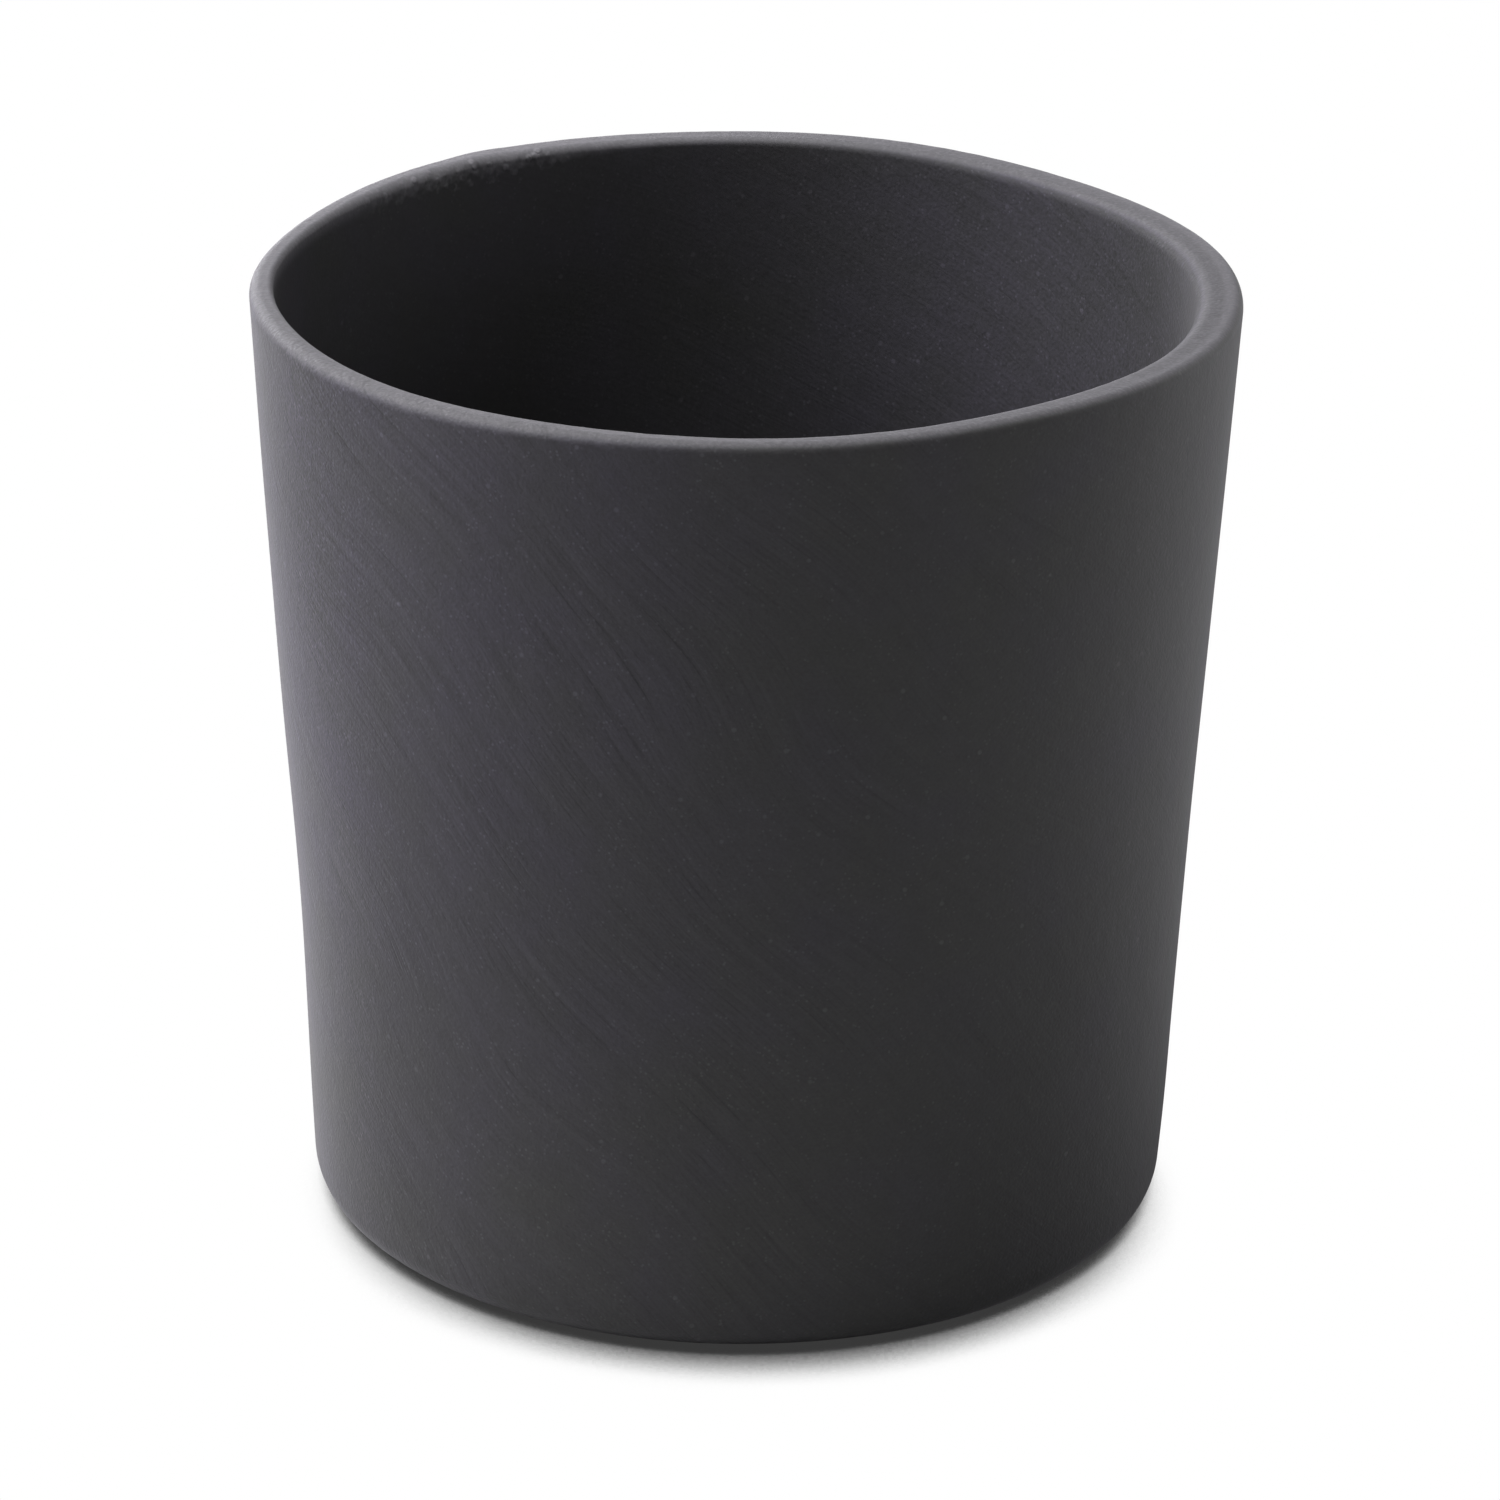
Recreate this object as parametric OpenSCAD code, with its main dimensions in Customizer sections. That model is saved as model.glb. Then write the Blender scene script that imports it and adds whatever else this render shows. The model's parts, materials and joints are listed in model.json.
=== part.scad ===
// Empty candle jar: one piece of fired, unglazed stoneware, with no lid, liner or loose part.
// It is a round vessel that widens a little from its foot to its rim. The hollow stands slightly
// off the middle, so the wall is thin on the -X side and thick on the +X side.
// Millimetres, +Z up. The origin is the middle of the foot, on the surface the jar stands on.

/* [Outside] */
// Height from the foot to the top of the rim
height = 84; // [70:0.5:100]
// Outer diameter at the rim, measured where the wall line meets the rim plane
rim_d = 85; // [84:0.5:100]
// Outer diameter at the foot, measured where the wall line meets the ground
base_d = 75.2; // [68:0.2:76]
// Radius of the rounded edge round the foot
foot_edge_r = 3; // [1.5:0.5:5]
// Radius of the rounded outer edge of the rim
rim_edge_r = 1.2; // [0.6:0.1:1.3]

/* [Hollow] */
// Wall thickness at the rim, on average round the jar
rim_wall = 3; // [2.8:0.1:5]
// Wall thickness at the level of the floor, on average round the jar
base_wall = 3.6; // [3:0.1:6]
// Thickness of the floor
floor_t = 5; // [3:0.5:8]
// How far the hollow stands off the middle, towards -X
hollow_shift = 1; // [0:0.1:1]
// Radius of the rounded corner between the floor and the wall
floor_corner_r = 8; // [3:0.5:12]
// Radius of the rounded inner edge of the rim
lip_r = 0.8; // [0.4:0.1:1]

/* [Foot] */
// Width of the flat ring that the jar stands on
foot_ring_w = 5; // [3:0.5:10]
// Depth of the shallow recess inside the foot ring
recess_depth = 0.8; // [0.4:0.1:1.5]

/* [Hidden] */
clay = [0.2, 0.2, 0.21];
$fn = 180;
// Outside radii, and how far the outside wall leans from the vertical
rim_r = rim_d / 2;
base_r = base_d / 2;
lean = atan((rim_r - base_r) / height);
// The same for the hollow, measured from the hollow's own axis
hollow_rim_r = rim_r - rim_wall;
hollow_base_r = base_r + floor_t * tan(lean) - base_wall;
hollow_lean = atan((hollow_rim_r - hollow_base_r) / (height - floor_t));
// The recess's side slopes in by this much for each millimetre of its depth
recess_slope = 2;
// The lip's arc crests this far above the rim plane, so that the two surfaces cross at an angle
lip_crest = 0.03;
// The hollow is cut from this far above the rim
top_clear = 1;

// The direction that faces out of a wall with this lean, in a half profile
function wall_normal(lean_angle) = [cos(lean_angle), -sin(lean_angle)];

// Half of the outside: ground, foot edge, leaning wall, rim edge and rim plane
module outside_profile() {
    foot_arc = [base_r - foot_edge_r * tan(45 - lean / 2), foot_edge_r];
    rim_arc = [rim_r - rim_edge_r * tan(45 + lean / 2), height - rim_edge_r];
    polygon([
        [0, 0],
        [foot_arc.x, 0],
        foot_arc + foot_edge_r * wall_normal(lean),
        rim_arc + rim_edge_r * wall_normal(lean),
        [rim_arc.x, height],
        [0, height]
    ]);
    translate(foot_arc) circle(r = foot_edge_r);
    translate(rim_arc) circle(r = rim_edge_r);
}

// Half of the hollow: floor, rounded corner, leaning wall and the flare over the rim's inner edge
module hollow_profile() {
    corner_arc = [
        hollow_base_r - floor_corner_r * tan(45 - hollow_lean / 2),
        floor_t + floor_corner_r
    ];
    lip_drop = lip_r - lip_crest;
    lip_arc = [
        hollow_rim_r - lip_drop * tan(hollow_lean) + lip_r / cos(hollow_lean),
        height - lip_drop
    ];
    flare_r = lip_arc.x - sqrt(pow(lip_r, 2) - pow(lip_drop, 2));
    difference() {
        polygon([
            [0, floor_t],
            [corner_arc.x, floor_t],
            corner_arc + floor_corner_r * wall_normal(hollow_lean),
            lip_arc - lip_r * wall_normal(hollow_lean),
            [flare_r, height],
            [flare_r, height + top_clear],
            [0, height + top_clear]
        ]);
        translate(lip_arc) circle(r = lip_r);
    }
    translate(corner_arc) circle(r = floor_corner_r);
}

// A shallow cone that crosses the ground plane at the inner edge of the foot ring
module foot_recess() {
    recess_r = base_r - foot_edge_r - foot_ring_w;
    spread = recess_slope * recess_depth;
    translate([0, 0, -recess_depth])
        cylinder(h = 2 * recess_depth, r1 = recess_r + spread, r2 = recess_r - spread);
}

module jar() {
    color(clay)
        difference() {
            rotate_extrude() outside_profile();
            translate([-hollow_shift, 0, 0]) rotate_extrude() hollow_profile();
            foot_recess();
        }
}

jar();
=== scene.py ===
"""An empty candle jar of unglazed black stoneware, standing on a pale floor in soft studio light.

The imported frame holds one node, "jar": an even, turned solid. One mesh piece stands for it here, with
what the hand left on the real jar: a rim that dips and rises, a wall that is thin on one side and
thick on the other, softened edges, brush strokes and a dry grain. Lengths are in metres.
"""
import json
import math
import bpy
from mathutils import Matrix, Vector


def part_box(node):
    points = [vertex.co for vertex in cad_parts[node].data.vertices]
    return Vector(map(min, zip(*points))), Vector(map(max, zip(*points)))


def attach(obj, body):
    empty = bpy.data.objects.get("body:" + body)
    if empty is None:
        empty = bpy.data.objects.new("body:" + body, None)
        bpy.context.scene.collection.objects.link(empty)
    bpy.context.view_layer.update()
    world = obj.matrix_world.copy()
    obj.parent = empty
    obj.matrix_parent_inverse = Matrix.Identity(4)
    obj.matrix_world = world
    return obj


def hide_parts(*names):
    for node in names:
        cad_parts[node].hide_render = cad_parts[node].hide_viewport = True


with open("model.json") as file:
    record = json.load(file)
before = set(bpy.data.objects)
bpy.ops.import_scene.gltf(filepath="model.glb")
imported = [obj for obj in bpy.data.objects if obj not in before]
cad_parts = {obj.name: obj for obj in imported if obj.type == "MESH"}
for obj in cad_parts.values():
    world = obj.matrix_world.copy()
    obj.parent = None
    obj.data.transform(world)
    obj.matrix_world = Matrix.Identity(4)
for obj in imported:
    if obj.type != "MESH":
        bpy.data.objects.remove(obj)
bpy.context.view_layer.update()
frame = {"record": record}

from types import SimpleNamespace

import bpy
from mathutils import Quaternion, Vector, noise

MM = 0.001


# ---------------------------------------------------------------------------------------------
# Sizes, from the frame where it has them
# ---------------------------------------------------------------------------------------------

mounts = {m["name"]: Vector(m["pos_m"]) for m in frame["record"]["mounts"]}
HEIGHT = mounts["rim"].z
RIM_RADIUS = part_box("jar")[1].x
HOLLOW_X = mounts["inner_floor"].x
FLOOR_Z = mounts["inner_floor"].z
# How much the radius shrinks from the rim to the foot, outside, and to the floor, in the hollow
TAPER = 4.83 * MM
HOLLOW_TAPER = 5.2 * MM
RIM_WALL = 2.93 * MM
FOOT_EDGE = 3.0 * MM
FOOT_RING = 5.0 * MM
RECESS_DEPTH = 0.8 * MM
RECESS_SLOPE = 1.6 * MM
FLOOR_CORNER = 8.0 * MM
FOOT_RADIUS = RIM_RADIUS - TAPER
HOLLOW_RIM_RADIUS = RIM_RADIUS - RIM_WALL
HOLLOW_FLOOR_RADIUS = HOLLOW_RIM_RADIUS - HOLLOW_TAPER
OUTER_LEAN = math.atan(TAPER / HEIGHT)
HOLLOW_LEAN = math.atan(HOLLOW_TAPER / (HEIGHT - FLOOR_Z))


# ---------------------------------------------------------------------------------------------
# Camera and light
# ---------------------------------------------------------------------------------------------

# The lens is in millimetres, angles are in degrees, and distances are from the jar's middle
LENS = 162.5
CAMERA_ELEVATION = 22.5
CAMERA_DISTANCE = 0.595
CAMERA_ROLL = 0.8
CAMERA_AIM = Vector((0.8 * MM, 0, HEIGHT / 2 - 1.9 * MM))
NEAREST_SEEN = 0.05
LAMP_DISTANCE = 0.9
# Sizes of softboxes in metres, as (width, height), and the tint of the cool ones
LARGE = (0.46, 0.44)
LOW = (0.46, 0.09)
SQUARE = (0.40, 0.40)
COOL = (0.995, 0.985, 1.03)


def from_jar(azimuth, elevation, distance):
    """A point seen from the jar's middle. Azimuth 0 is +X and 90 is behind the jar, in degrees."""
    a, e = math.radians(azimuth), math.radians(elevation)
    way = Vector((math.cos(a) * math.cos(e), math.sin(a) * math.cos(e), math.sin(e)))
    return Vector((0, 0, HEIGHT / 2)) + distance * way


def add_camera():
    data = bpy.data.cameras.new("camera")
    data.lens = LENS
    data.clip_start = NEAREST_SEEN
    camera = bpy.data.objects.new("camera", data)
    bpy.context.scene.collection.objects.link(camera)
    camera.location = from_jar(-90, CAMERA_ELEVATION, CAMERA_DISTANCE)
    level = (CAMERA_AIM - camera.location).to_track_quat("-Z", "Y")
    camera.rotation_mode = "QUATERNION"
    camera.rotation_quaternion = level @ Quaternion((0, 0, 1), math.radians(CAMERA_ROLL))
    bpy.context.scene.camera = camera


def add_softbox(name, azimuth, elevation, size, watts, tint=(1, 1, 1)):
    """A rectangular lamp that faces the jar and isn't seen itself."""
    data = bpy.data.lights.new(name, "AREA")
    data.shape = "RECTANGLE"
    data.size, data.size_y = size
    data.energy = watts
    data.color = tint
    lamp = bpy.data.objects.new(name, data)
    bpy.context.scene.collection.objects.link(lamp)
    lamp.location = from_jar(azimuth, elevation, LAMP_DISTANCE)
    aim = Vector((0, 0, HEIGHT / 2)) - lamp.location
    lamp.rotation_euler = aim.to_track_quat("-Z", "Y").to_euler()
    lamp.visible_camera = False


add_camera()
add_softbox("left_high", 180, 42, LARGE, 7.6, COOL)
add_softbox("left_back", 160, 30, LARGE, 4.4, COOL)
add_softbox("back_left", 120, 14, LARGE, 5.7, COOL)
add_softbox("back_right", 35, 2, LOW, 2.4, COOL)
add_softbox("right", 0, 14, LARGE, 1.8, COOL)
add_softbox("left_top", 180, 75, SQUARE, 7.2)
add_softbox("left_front", 220, 42, LARGE, 1.7)
add_softbox("right_top", -20, 60, SQUARE, 1.0)


# ---------------------------------------------------------------------------------------------
# The jar's mesh
# ---------------------------------------------------------------------------------------------

# How many points there are round the jar, and how many rows of faces across each of its surfaces
SEGMENTS = 512
RECESS_ROWS = 8
SLOPE_ROWS = 4
RING_ROWS = 4
FOOT_EDGE_ROWS = 12
WALL_ROWS = 56
SHOULDER_ROWS = 10
RIM_ROWS = 4
LIP_ROWS = 12
HOLLOW_ROWS = 44
CORNER_ROWS = 16
FLOOR_ROWS = 8
# The rim's rounded edges: the shoulder outside, which is rounder at the back than at the front, and
# the lip inside, as (thin side, thick side)
SHOULDER = 1.05 * MM
SHOULDER_SWING = 0.1 * MM
LIP = (0.55 * MM, 1.5 * MM)
# How far the rim's mean height is below the CAD rim, then its waves: how many to a turn, how high,
# and the angle of a crest in degrees
RIM_DROP = 0.20 * MM
RIM_WAVES = (
    (1, 0.05 * MM, 200),
    (2, 0.15 * MM, 103),
    (3, 0.04 * MM, 88),
    (4, 0.07 * MM, 25),
    (6, 0.11 * MM, 11),
)
RIM_ROUGHNESS = 0.02 * MM
RIM_ROUGHNESS_LENGTH = 1.6 * MM
# The rim has a small bump here. This place and the ones below are angles in degrees
HIGH_SPOT = 126
HIGH_SPOT_RISE = 0.12 * MM
HIGH_SPOT_SPREAD = 4
# Dips in the rim, as (angle, spread, depth)
RIM_DIPS = (
    (38, 32, 0.15 * MM),
    (128, 35, 0.20 * MM),
    (165, 18, 0.18 * MM),
)
# The rim's outer edge is sharp here
CRISP_SPOT = 128
CRISP_SPOT_SPREAD = 35
CRISP_SPOT_SHARPENING = 0.50 * MM
# The outer wall is flattened here, from the rim down
FLAT_SIDE = 290
FLAT_SIDE_DEPTH = 1.0 * MM
FLAT_SIDE_SPREAD = 42
FLAT_SIDE_REACH = 38 * MM
# The inner edge stands in furthest here
THICK_SPOT = 318
THICK_SPOT_DEPTH = 0.25 * MM
THICK_SPOT_SPREAD = 28
THICK_SPOT_REACH = 14 * MM
# How far the whole wall stands out and how its waist is set in, as (thin side, thick side), and the
# fuller base of the thick side
SWELL = (0.12 * MM, 0.16 * MM)
WAIST_DEPTH = (0.42 * MM, 0.14 * MM)
WAIST_Z = (28 * MM, 42 * MM)
WAIST_SPREAD = (18 * MM, 14 * MM)
BELLY_DEPTH = 0.10 * MM
BELLY_Z = 8 * MM
BELLY_SPREAD = 7 * MM
# Slow ripples in the whole outer wall
RIPPLE = 0.06 * MM
RIPPLE_LENGTH = 17 * MM
# The lip is chipped and rounder here
CHIPPED = 132
CHIPPED_SPREAD = 22
CHIP_DEPTH = 0.25 * MM
CHIP_LENGTH = 1.3 * MM
CHIPPED_LIP = 0.35 * MM


def mix(a, b, t):
    return a + (b - a) * t


def bell(x, centre, spread):
    """1 at centre and near 0 beyond twice the spread."""
    return math.exp(-((x - centre) / spread) ** 2)


def bell_at(angle, centre, spread):
    """The same round the jar, in degrees."""
    return bell((angle - centre + 180) % 360, 180, spread)


def thick_side(angle):
    """1 where the wall is thickest, at +X, and 0 where it is thinnest."""
    return (1 + math.cos(math.radians(angle))) / 2


def outwards(angle):
    return Vector((math.cos(math.radians(angle)), math.sin(math.radians(angle)), 0))


def rim_height(angle):
    waves = sum(h * math.cos(math.radians(n * (angle - crest))) for n, h, crest in RIM_WAVES)
    high_spot = HIGH_SPOT_RISE * bell_at(angle, HIGH_SPOT, HIGH_SPOT_SPREAD)
    dips = sum(depth * bell_at(angle, centre, spread) for centre, spread, depth in RIM_DIPS)
    rough = RIM_ROUGHNESS * noise.noise(outwards(angle) * RIM_RADIUS / RIM_ROUGHNESS_LENGTH)
    return HEIGHT - RIM_DROP + waves + high_spot - dips + rough


def outer_radius(z):
    return mix(FOOT_RADIUS, RIM_RADIUS, z / HEIGHT)


def hollow_radius(z):
    return mix(HOLLOW_FLOOR_RADIUS, HOLLOW_RIM_RADIUS, (z - FLOOR_Z) / (HEIGHT - FLOOR_Z))


def unevenness(angle, radius, z):
    """How far the wall stands out here: a waist, deeper on the thin side, a fuller base and ripples."""
    thick = thick_side(angle)
    swell = mix(*SWELL, thick)
    waist = mix(*WAIST_DEPTH, thick) * bell(z, mix(*WAIST_Z, thick), mix(*WAIST_SPREAD, thick))
    belly = BELLY_DEPTH * thick * bell(z, BELLY_Z, BELLY_SPREAD)
    ripple = RIPPLE * noise.noise((outwards(angle) * radius + Vector((0, 0, z))) / RIPPLE_LENGTH)
    flattened = FLAT_SIDE_DEPTH * bell_at(angle, FLAT_SIDE, FLAT_SIDE_SPREAD)
    flattened *= bell(z, HEIGHT, FLAT_SIDE_REACH)
    return swell - waist + belly + ripple - flattened


def chip(angle):
    """How deep the inner lip is chipped at this angle."""
    zone = bell_at(angle, CHIPPED, CHIPPED_SPREAD)
    flake = noise.noise(outwards(angle) * HOLLOW_RIM_RADIUS / CHIP_LENGTH)
    return CHIP_DEPTH * zone * max(0.0, flake)


def steps(start, end, rows):
    """Evenly spaced numbers from start to end, without start itself."""
    return [mix(start, end, i / rows) for i in range(1, rows + 1)]


def arc(centre, radius, start, end, rows):
    """Points (radius, height) round centre, from start to end in degrees, without the first point."""
    angles = [math.radians(a) for a in steps(start, end, rows)]
    return [(centre[0] + radius * math.cos(a), centre[1] + radius * math.sin(a)) for a in angles]


def foot_section():
    """The half section under the foot and round its edge, as (radius, height)."""
    ring_out = FOOT_RADIUS - FOOT_EDGE * math.tan(math.pi / 4 - OUTER_LEAN / 2)
    ring_in = ring_out - FOOT_RING
    recess = ring_in - RECESS_SLOPE
    points = [(r, RECESS_DEPTH) for r in steps(0, recess, RECESS_ROWS)]
    for share in steps(0, 1, SLOPE_ROWS):
        points.append((mix(recess, ring_in, share), RECESS_DEPTH * (1 + math.cos(math.pi * share)) / 2))
    points += [(r, 0) for r in steps(ring_in, ring_out, RING_ROWS)]
    edge = arc((ring_out, FOOT_EDGE), FOOT_EDGE, -90, -math.degrees(OUTER_LEAN), FOOT_EDGE_ROWS)
    return points + edge


def shoulder_size(angle):
    """The radius of the rim's rounded outer edge."""
    crisp = CRISP_SPOT_SHARPENING * bell_at(angle, CRISP_SPOT, CRISP_SPOT_SPREAD)
    return SHOULDER + SHOULDER_SWING * math.sin(math.radians(angle)) - crisp


def lip_size(angle):
    """The radius of the rim's rounded inner edge."""
    chipped = CHIPPED_LIP * bell_at(angle, CHIPPED, CHIPPED_SPREAD)
    return mix(*LIP, thick_side(angle) ** 2) + chipped


def outer_section(angle, top):
    """The half section from under the foot to the outer edge of the rim, as (radius, height)."""
    shoulder = shoulder_size(angle)
    wall_top = top - shoulder * (1 + math.sin(OUTER_LEAN))
    points = foot_section()
    points += [(outer_radius(z), z) for z in steps(points[-1][1], wall_top, WALL_ROWS)]
    centre = (outer_radius(wall_top) - shoulder * math.cos(OUTER_LEAN), top - shoulder)
    points += arc(centre, shoulder, -math.degrees(OUTER_LEAN), 90, SHOULDER_ROWS)
    return [(r + unevenness(angle, r, z), z) for r, z in points]


def lip_section(angle, top):
    """The inner edge of the rim, which chips cut back, as (radius, height)."""
    lip = lip_size(angle)
    lip_low = top - lip * (1 - math.sin(HOLLOW_LEAN))
    centre = (hollow_radius(lip_low) + lip * math.cos(HOLLOW_LEAN), top - lip)
    chipped = chip(angle)
    points = [(centre[0], top)]
    for i, (r, z) in enumerate(arc(centre, lip, 90, 180 - math.degrees(HOLLOW_LEAN), LIP_ROWS)):
        share = chipped * math.sin(math.pi * (i + 1) / LIP_ROWS)
        points.append((r + share / 2, z - share))
    return points


def hollow_section(angle, top):
    """The half section from the inner edge of the rim down to the floor, as (radius, height)."""
    points = lip_section(angle, top)
    wall_end = FLOOR_Z + FLOOR_CORNER * (1 - math.sin(HOLLOW_LEAN))
    points += [(hollow_radius(z), z) for z in steps(points[-1][1], wall_end, HOLLOW_ROWS)]
    flat = HOLLOW_FLOOR_RADIUS - FLOOR_CORNER * math.tan(math.pi / 4 - HOLLOW_LEAN / 2)
    corner = (flat, FLOOR_Z + FLOOR_CORNER)
    points += arc(corner, FLOOR_CORNER, -math.degrees(HOLLOW_LEAN), -90, CORNER_ROWS)
    points += [(flat - r, FLOOR_Z) for r in steps(0, flat, FLOOR_ROWS)[:-1]]
    stand_in = THICK_SPOT_DEPTH * bell_at(angle, THICK_SPOT, THICK_SPOT_SPREAD)
    return [(r - stand_in * bell(z, top, THICK_SPOT_REACH), z) for r, z in points]


def section(angle):
    """The jar's half section at this angle, as points in space from under the foot to the floor."""
    turn = outwards(angle)
    top = rim_height(angle)
    outer = [turn * r + Vector((0, 0, z)) for r, z in outer_section(angle, top)]
    hollow = [turn * r + Vector((HOLLOW_X, 0, z)) for r, z in hollow_section(angle, top)]
    flat = [outer[-1].lerp(hollow[0], i / RIM_ROWS) for i in range(1, RIM_ROWS)]
    return outer + flat + hollow


def jar_faces(rows, under, floor):
    """Quads between neighbouring sections, and fans of triangles round the points under and floor."""
    faces = []
    for i in range(SEGMENTS):
        here, there = i * rows, (i + 1) % SEGMENTS * rows
        faces.append((under, there, here))
        faces.append((floor, here + rows - 1, there + rows - 1))
        for j in range(rows - 1):
            faces.append((here + j, there + j, there + j + 1, here + j + 1))
    return faces


def build_jar():
    """The jar as one closed mesh, with each point's depth below the rim kept for the material."""
    angles = [360 * i / SEGMENTS for i in range(SEGMENTS)]
    sections = [section(a) for a in angles]
    rows = len(sections[0])
    verts = [p for s in sections for p in s]
    verts.append(Vector((0, 0, RECESS_DEPTH)))
    verts.append(Vector((HOLLOW_X, 0, FLOOR_Z)))
    mesh = bpy.data.meshes.new("stoneware_jar")
    mesh.from_pydata([tuple(v) for v in verts], [], jar_faces(rows, len(verts) - 2, len(verts) - 1))
    mesh.shade_smooth()
    depths = mesh.attributes.new("below_rim", "FLOAT", "POINT")
    tops = [rim_height(a) for a in angles for _ in range(rows)] + [HEIGHT, HEIGHT]
    depths.data.foreach_set("value", [top - v.z for top, v in zip(tops, verts)])
    jar = bpy.data.objects.new("stoneware_jar", mesh)
    bpy.context.scene.collection.objects.link(jar)
    return jar


# ---------------------------------------------------------------------------------------------
# Materials
# ---------------------------------------------------------------------------------------------

class Field:
    """A number that varies over the surface: a socket that can be added, subtracted and multiplied."""

    def __init__(self, nodes, socket):
        self.nodes = nodes
        self.socket = socket

    def __add__(self, other):
        return self.nodes.math("ADD", self, other)

    def __sub__(self, other):
        return self.nodes.math("SUBTRACT", self, other)

    def __rsub__(self, other):
        return self.nodes.math("SUBTRACT", other, self)

    def __mul__(self, other):
        return self.nodes.math("MULTIPLY", self, other)

    __radd__ = __add__
    __rmul__ = __mul__


class Nodes:
    """Builds one material: each method adds a node, and most return its result as a field."""

    def __init__(self, name):
        self.material = bpy.data.materials.new(name)
        self.material.use_nodes = True
        self.tree = self.material.node_tree
        self.shader = self.tree.nodes["Principled BSDF"]
        self.output = self.tree.nodes["Material Output"]

    def feed(self, socket, value):
        if isinstance(value, Field):
            value = value.socket
        if isinstance(value, bpy.types.NodeSocket):
            self.tree.links.new(value, socket)
        else:
            socket.default_value = value

    def add(self, kind, **inputs):
        node = self.tree.nodes.new(kind)
        for name, value in inputs.items():
            self.feed(node.inputs[name.replace("_", " ")], value)
        return node

    def math(self, operation, *values):
        node = self.add("ShaderNodeMath")
        node.operation = operation
        for socket, value in zip(node.inputs, values):
            self.feed(socket, value)
        return Field(self, node.outputs[0])

    def attribute(self, name):
        node = self.add("ShaderNodeAttribute")
        node.attribute_name = name
        return Field(self, node.outputs["Fac"])

    def ramp(self, value, start, end):
        """0 at start and 1 at end, smooth between, and flat beyond them."""
        node = self.add("ShaderNodeMapRange", Value=value, From_Min=start, From_Max=end)
        node.interpolation_type = "SMOOTHSTEP"
        return Field(self, node.outputs[0])

    def noise(self, place, size, detail=0.0):
        """Noise of 0 to 1 in space, whose spots are about this size."""
        node = self.add("ShaderNodeTexNoise", Vector=place, Scale=1 / size, Detail=detail)
        return Field(self, node.outputs[0])

    def specks(self, place, spacing, size):
        """1 in small round spots about this far apart and this wide, and 0 between them."""
        node = self.add("ShaderNodeTexVoronoi", Vector=place, Scale=1 / spacing)
        return self.ramp(node.outputs["Distance"], size / spacing, SPECK_CORE * size / spacing)

    def strokes(self, angle, z, lean, width, length):
        """Noise drawn out along the wall into strokes that fall by lean degrees to the right.

        The coordinates across and along the strokes are each wound onto a circle, so that the pattern
        meets itself again behind the jar.
        """
        slope = math.tan(math.radians(lean))
        across_radius = WALL_RADIUS * abs(math.sin(math.radians(lean))) / width
        along_radius = WALL_RADIUS * math.cos(math.radians(lean)) / length
        across = z * (1 / (WALL_RADIUS * slope)) + angle
        along = z * (-slope / WALL_RADIUS) + angle
        wound = self.add(
            "ShaderNodeCombineXYZ",
            X=self.math("COSINE", across) * across_radius,
            Y=self.math("SINE", across) * across_radius,
            Z=self.math("COSINE", along) * along_radius,
        )
        node = self.add("ShaderNodeTexNoise")
        node.noise_dimensions = "4D"
        self.feed(node.inputs["Vector"], wound.outputs[0])
        self.feed(node.inputs["W"], self.math("SINE", along) * along_radius)
        self.feed(node.inputs["Scale"], 1.0)
        self.feed(node.inputs["Detail"], 1.0)
        return Field(self, node.outputs[0])


# The share of a speck's radius that has its full strength
SPECK_CORE = 0.4
WALL_RADIUS = (FOOT_RADIUS + RIM_RADIUS) / 2
# Plain clay, and the violet clay that is mixed into it
CLAY = (0.0201, 0.0200, 0.0194, 1)
VIOLET_CLAY = (0.0214, 0.0194, 0.0270, 1)
ROUGHNESS = 0.75
SHEEN = 0.10
SHEEN_ROUGHNESS = 0.4
SHEEN_TINT = (0.97, 0.95, 1.0, 1)
# Strokes: how far they fall to the right in degrees, their width and their length
FINE_STROKES = (47, 0.24 * MM, 9 * MM)
BROAD_STROKES = (44, 0.8 * MM, 20 * MM)
WIPING = (-22, 0.28 * MM, 8 * MM)
# What the fine and broad strokes come to together, on average
STROKES_MEAN = 0.84


def surface_zones(n, x, y, z):
    """Where a point of the jar is, as fields of 0 to 1 with soft edges."""
    radius = n.math("SQRT", x * x + y * y)
    # How far the point is behind the face of the outer wall
    into_wall = z * (TAPER / HEIGHT) + FOOT_RADIUS - radius
    inner_edge = n.ramp(into_wall, 1.4 * MM, 2.4 * MM)
    inside = n.ramp(into_wall, 1.2 * MM, 1.9 * MM)
    left = n.ramp(x, 0.9 * RIM_RADIUS, -0.6 * RIM_RADIUS)
    return SimpleNamespace(
        inside=inside,
        outside=1.0 - inside,
        inner_edge=inner_edge,
        left=left,
        far_left=n.ramp(x, -0.65 * RIM_RADIUS, -0.90 * RIM_RADIUS),
        right=n.ramp(x, 0.1 * RIM_RADIUS, 0.9 * RIM_RADIUS),
        far_right=n.ramp(x, 0.6 * RIM_RADIUS, RIM_RADIUS),
        back=n.ramp(y, -0.3 * RIM_RADIUS, 0.8 * RIM_RADIUS),
        high_up=n.ramp(z, 0.05 * HEIGHT, 0.70 * HEIGHT),
        low_down=n.ramp(z, 0.85 * HEIGHT, 0.40 * HEIGHT),
        brushed=(1.0 - inside) * (left * 0.75 + 0.25),
        wiped=inside * (left * -0.75 + 1.0),
        # The left side, where the rim's pale band is wider and its painted light is stronger at the
        # back
        wear_and_light_left=n.ramp(x, 0.1 * RIM_RADIUS, -0.6 * RIM_RADIUS),
        chipped=n.ramp(x, -11 * MM, -22 * MM) * n.ramp(y, 18 * MM, 26 * MM) * inner_edge,
    )


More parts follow.
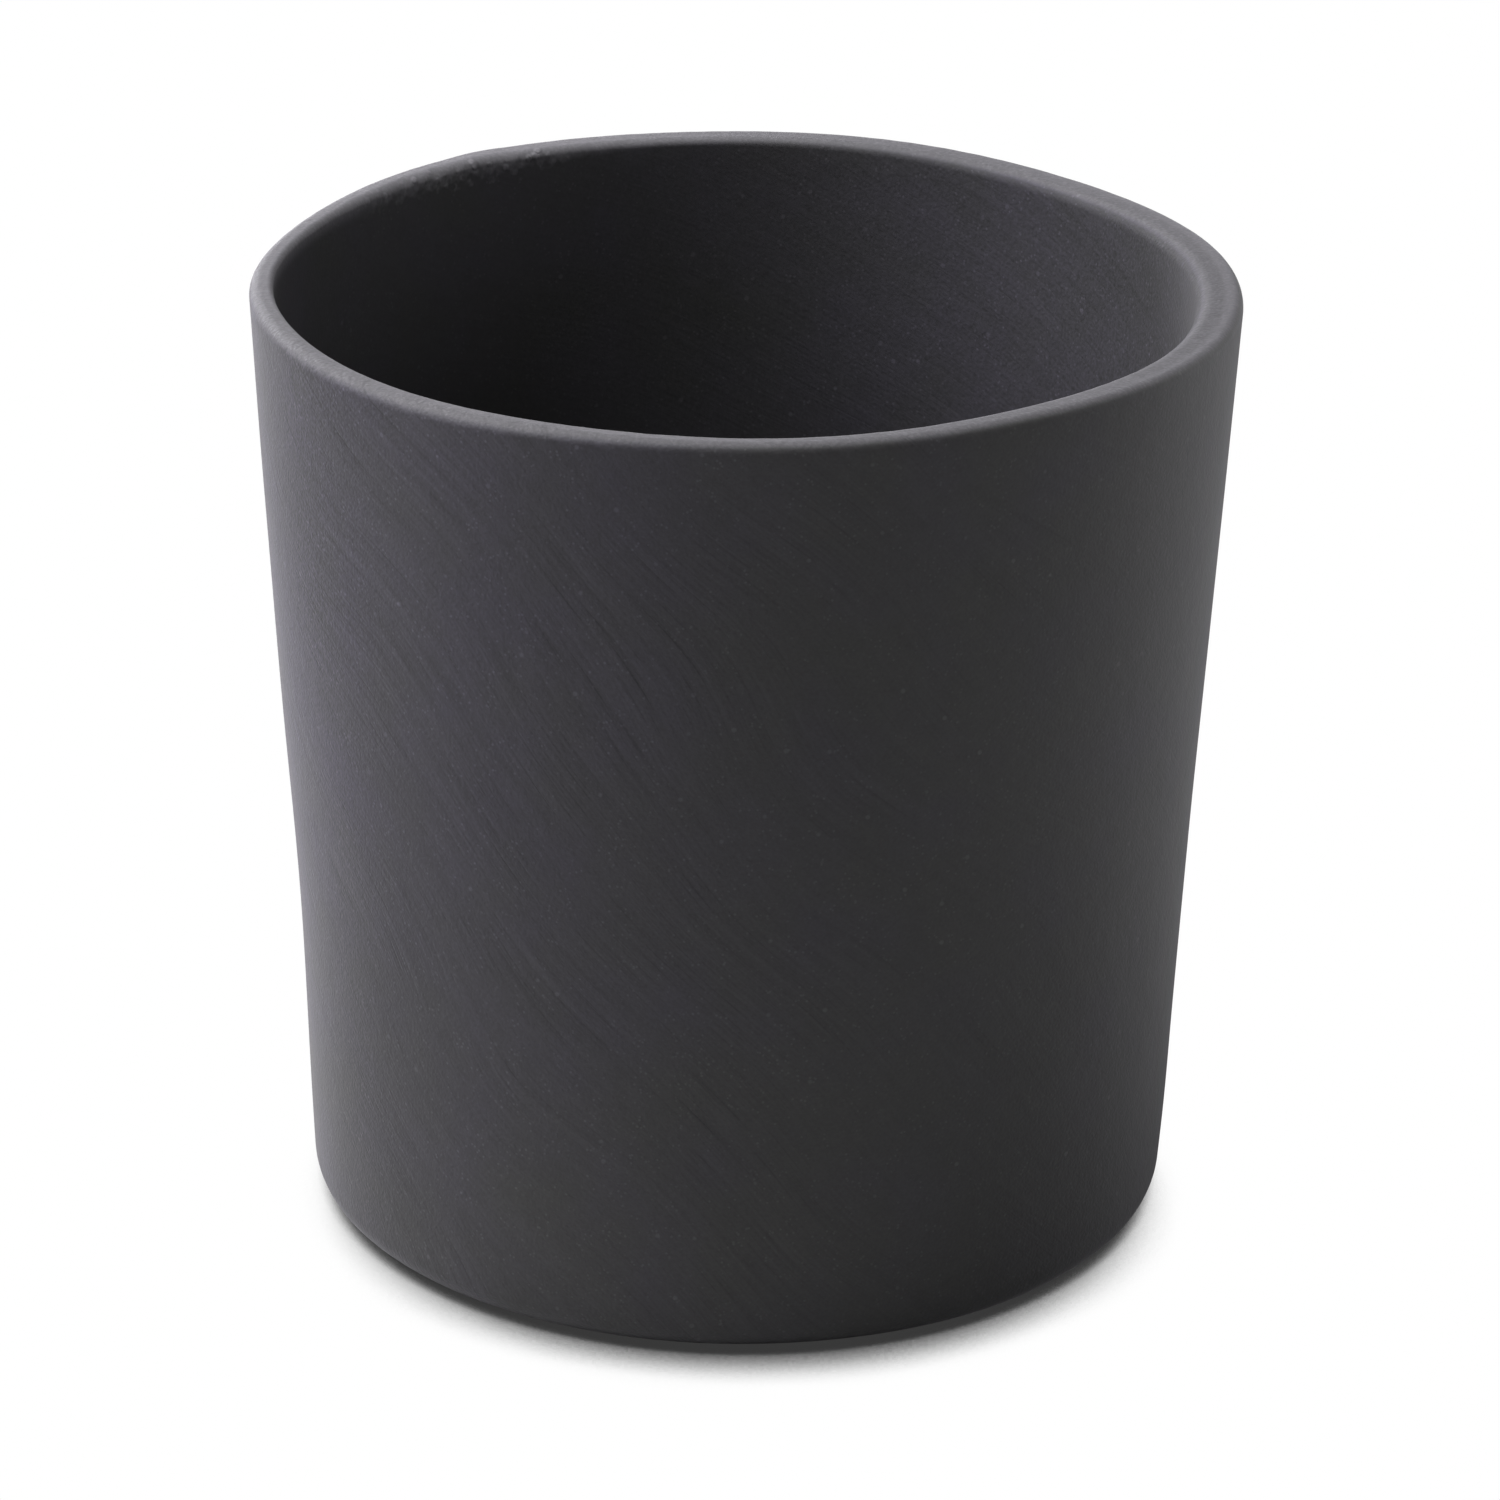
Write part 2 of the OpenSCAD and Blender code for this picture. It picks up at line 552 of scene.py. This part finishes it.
def pale_rim(n, place, zone):
    """1 on the rim's top, pale from wear and dust and from painted light, and 0 a little way down the
    walls.

    It is wider on the left side, most of all in the hollow, and ragged where the edge is chipped.
    """
    ragged = zone.chipped * ((n.noise(place, 0.7 * MM, 1.0) - 0.5) * (1.2 * MM))
    narrowing = (zone.wear_and_light_left * -0.75 + 1.5) * (zone.wear_and_light_left * zone.inner_edge * -0.5 + 1.0)
    return n.ramp(n.attribute("below_rim") * narrowing - ragged, 0.85 * MM, 0.12 * MM)


def brush_strokes(n, place, angle, z, zone):
    """Strokes of the brush outside, in patches, with thin dark scratches among them."""
    fine = n.strokes(angle, z, *FINE_STROKES)
    broad = n.strokes(angle, z, *BROAD_STROKES)
    patches = n.ramp(n.noise(place, 11 * MM, 1.0), 0.40, 0.60)
    scratches = n.ramp(fine, 0.36, 0.22)
    strength = zone.brushed * (patches * 0.60 + 0.40)
    return strength * (fine + broad * 0.7 + scratches * -0.25 - STROKES_MEAN)


def surface_marks(n, place, x, y, z, zone):
    """What is on the clay, as fields: noises of 0 to 1, spots of 0 or 1, and swings about 0."""
    # The way round the jar in radians, bent so that the strokes curve, and how strong the grain is
    angle = n.math("ARCTAN2", y, x) + (n.noise(place, 26 * MM) - 0.5) * 0.45
    dryness = 0.42 + zone.brushed * 0.50 + zone.outside * zone.far_left * 0.60 + zone.wiped * 0.60
    speckled = n.ramp(n.noise(place, 1.8 * MM, 1.0), 0.42, 0.62)
    # The rim's pale top: wear and dust, with painted light from above
    rim = pale_rim(n, place, zone)
    return SimpleNamespace(
        grit=dryness * (n.noise(place, 0.30 * MM, 1.0) - 0.5),
        mottle=n.noise(place, 1.5 * MM, 2.0),
        cloud=n.noise(place, 9 * MM, 3.0),
        specks=speckled * n.specks(place, 0.52 * MM, 0.16 * MM) * dryness,
        flecks=n.specks(place, 3.2 * MM, 0.30 * MM),
        brush=brush_strokes(n, place, angle, z, zone),
        wipe=zone.wiped * (n.strokes(angle, z, *WIPING) - 0.5),
        rim=rim,
        dust=rim * n.ramp(n.noise(place, 0.34 * MM, 1.0), 0.42, 0.68),
        chips=rim * zone.chipped * n.specks(place, 1.1 * MM, 0.45 * MM),
    )


def clay_tone(mark, zone):
    """How light the clay is, as a multiple of its plain colour: each number is what its mark adds, and
    the sides and the rim add painted light and shade too.
    """
    marks = (
        (mark.cloud - 0.5) * 0.35
        + (mark.mottle - 0.5) * 0.30
        + mark.grit * (zone.far_left + 1.35)
        + mark.brush * 1.15
        + mark.wipe * 0.80
        + mark.specks
        + mark.flecks * 0.9
    )
    # Painted light and shade: the hollow lighter on the left and darker on the right, darkest at its
    # far right; the outer wall on the right darker towards the foot and a little lighter near the top;
    # the outer wall on the far left lighter low down
    painted_light_and_shade = (
        zone.inside * (zone.left * 0.55 - 0.3)
        + zone.inside * zone.far_right * -0.55
        + zone.outside * zone.right * (zone.high_up * 0.73 - 0.57)
        + zone.outside * zone.far_left * zone.low_down * 0.60
    )
    # The rim's top made lighter by wear and dust and by painted light, most at the back and the back
    # left, and the chips paler
    rim_wear_and_light = (
        mark.rim * (zone.back * 0.3 + 2.0)
        + mark.dust * 0.7
        + mark.rim * zone.wear_and_light_left * (zone.back * 1.4 - 0.2)
        + mark.chips * 2.2
    )
    return 1.0 + marks + painted_light_and_shade + rim_wear_and_light


def violet_cast(mark, zone):
    """How violet the clay is: in clouds, where it was wiped or brushed, and a little on the rim."""
    wall = (mark.cloud - 0.5) * 1.4 + zone.wiped + zone.brushed * zone.left * (zone.high_up * 0.6 + 0.3)
    return wall * (1.0 - mark.rim) + mark.rim * 0.28


def clay_relief(mark, zone):
    """How high the clay stands, in millimetres. It is smoother in the hollow, most of all at left."""
    smooth = zone.inside * (zone.left + 1.0)
    return (
        mark.grit * (0.050 - zone.far_left * 0.022 - smooth * 0.021)
        + mark.mottle * (0.035 - smooth * 0.015)
        + mark.brush * 0.035
        + mark.wipe * 0.025
        + mark.dust * 0.008
        + mark.chips * 0.10
    )


def clay_colour(n, violet, tone):
    """The plain clay mixed with violet clay, and made lighter or darker by tone."""
    mixed = n.add("ShaderNodeMix")
    mixed.data_type = "RGBA"
    n.feed(mixed.inputs["Factor"], violet)
    colours = [socket for socket in mixed.inputs if socket.type == "RGBA"]
    colours[0].default_value = CLAY
    colours[1].default_value = VIOLET_CLAY
    toned = n.add("ShaderNodeVectorMath")
    toned.operation = "SCALE"
    n.feed(toned.inputs["Vector"], next(s for s in mixed.outputs if s.type == "RGBA"))
    n.feed(toned.inputs["Scale"], tone)
    return toned.outputs[0]


def stoneware():
    """Dry black clay: grain, pale specks and soft blotches, strokes outside and wiping lines inside."""
    n = Nodes("dry_stoneware")
    place = n.add("ShaderNodeTexCoord").outputs["Object"]
    x, y, z = [Field(n, s) for s in n.add("ShaderNodeSeparateXYZ", Vector=place).outputs]
    zone = surface_zones(n, x, y, z)
    mark = surface_marks(n, place, x, y, z, zone)
    relief = n.add("ShaderNodeBump", Strength=1.0, Distance=MM, Height=clay_relief(mark, zone))
    shader = n.shader.inputs
    n.feed(shader["Base Color"], clay_colour(n, violet_cast(mark, zone), clay_tone(mark, zone)))
    n.feed(shader["Roughness"], (mark.cloud - 0.5) * 0.10 + mark.grit * 0.20 + ROUGHNESS)
    n.feed(shader["Normal"], relief.outputs[0])
    shader["Sheen Weight"].default_value = SHEEN
    shader["Sheen Roughness"].default_value = SHEEN_ROUGHNESS
    shader["Sheen Tint"].default_value = SHEEN_TINT
    return n.material


# The shadow where the jar stands falls mostly to the front, as from a light high behind: for it the
# floor is taken to face SHADOW_WAY. SHADOW_DARK and SHADOW_LIGHT are how open to that side the floor
# is where the shadow is darkest and where it ends, and SHADOW_STRENGTH is how dark it gets
SHADOW_TILT = math.radians(40)
SHADOW_WAY = (-0.07, math.sin(SHADOW_TILT), math.cos(SHADOW_TILT))
SHADOW_STRENGTH = 0.96
SHADOW_REACH = 11 * MM
SHADOW_SAMPLES = 16
SHADOW_DARK = 0.255
SHADOW_LIGHT = 0.60
FLOOR_CARD = (0.5, 0.5, 0.5, 1)


def pale_floor():
    """White to the camera but for the shadow where the jar stands, and a grey card to the lights."""
    n = Nodes("floor")
    n.tree.nodes.remove(n.shader)
    x, y, z = SHADOW_WAY
    facing = n.add("ShaderNodeCombineXYZ", X=x, Y=y, Z=z)
    shade = n.add("ShaderNodeAmbientOcclusion", Distance=SHADOW_REACH, Normal=facing.outputs[0])
    shade.samples = SHADOW_SAMPLES
    light = n.ramp(shade.outputs["AO"], SHADOW_DARK, SHADOW_LIGHT)
    seen = n.add("ShaderNodeEmission", Strength=light * SHADOW_STRENGTH + (1 - SHADOW_STRENGTH))
    card = n.add("ShaderNodeBsdfDiffuse", Color=FLOOR_CARD)
    both = n.add("ShaderNodeMixShader", Fac=n.add("ShaderNodeLightPath").outputs["Is Camera Ray"])
    n.feed(both.inputs[1], card.outputs[0])
    n.feed(both.inputs[2], seen.outputs[0])
    n.feed(n.output.inputs["Surface"], both.outputs[0])
    return n.material


# ---------------------------------------------------------------------------------------------
# The jar, the floor and the background
# ---------------------------------------------------------------------------------------------

# The radius of the floor in metres, and how many corners it has
STAGE_RADIUS = 6
STAGE_CORNERS = 96


def add_jar():
    jar = build_jar()
    jar.data.materials.append(stoneware())
    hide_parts("jar")
    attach(jar, "root")


def add_floor():
    bpy.ops.mesh.primitive_circle_add(vertices=STAGE_CORNERS, radius=STAGE_RADIUS, fill_type="NGON")
    floor = bpy.context.object
    floor.name = "floor"
    floor.data.materials.append(pale_floor())


def add_white_background():
    """White behind the jar, which lights nothing."""
    world = bpy.data.worlds.new("world")
    world.use_nodes = True
    tree = world.node_tree
    tree.nodes["Background"].inputs["Color"].default_value = (1, 1, 1, 1)
    path = tree.nodes.new("ShaderNodeLightPath")
    tree.links.new(path.outputs["Is Camera Ray"], tree.nodes["Background"].inputs["Strength"])
    bpy.context.scene.world = world


add_jar()
add_floor()
add_white_background()
bpy.context.scene.view_settings.view_transform = "Standard"
